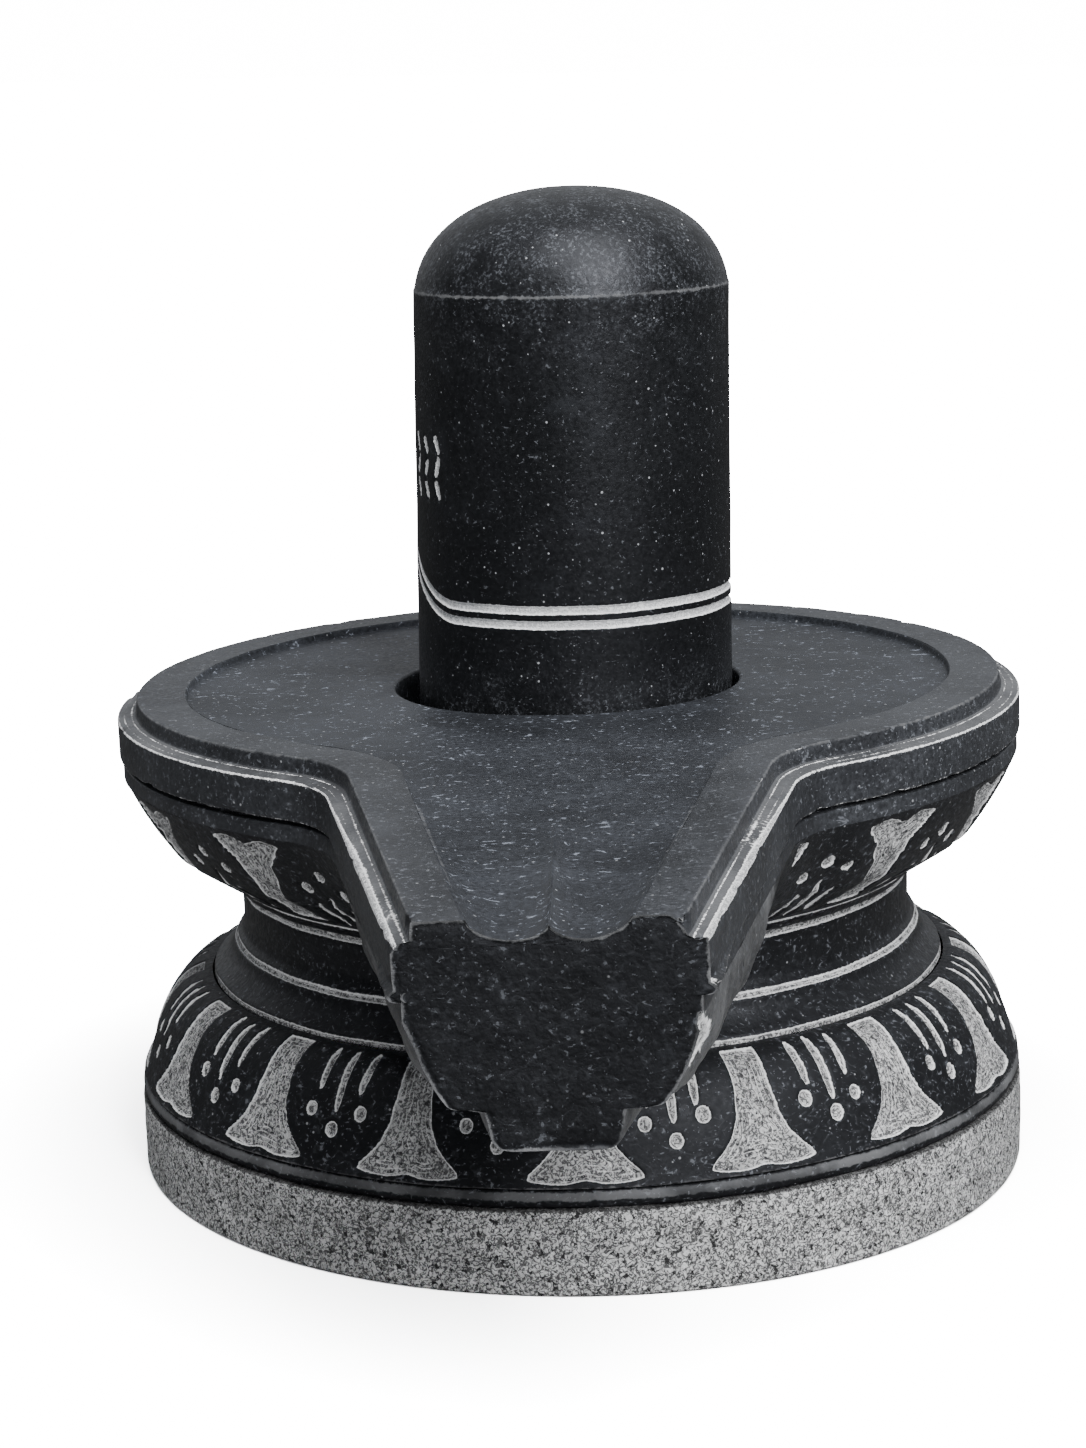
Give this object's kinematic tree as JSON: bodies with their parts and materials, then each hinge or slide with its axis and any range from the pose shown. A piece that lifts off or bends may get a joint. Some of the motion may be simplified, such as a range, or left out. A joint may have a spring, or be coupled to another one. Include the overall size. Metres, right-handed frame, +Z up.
{
  "type": "shiva lingam",
  "caption": "Domed dark stone shaft standing loose in the socket of a spouted basin with a carved bell foot.",
  "frame": {"origin": "centre of the round foot, on the ground", "axes": "+Z up, -Y along the spout, +X to the right seen from the spout"},
  "size_m": [0.3038, 0.4628, 0.3249],
  "materials": {
    "oiled_stone": "dark oiled stone, satin, with pale chiselled carving",
    "polished_stone": "near-black polished stone, satin"
  },
  "bodies": {
    "root": {"yoni_basin": "oiled_stone", "lingam": "polished_stone"}
  },
  "joints": []
}
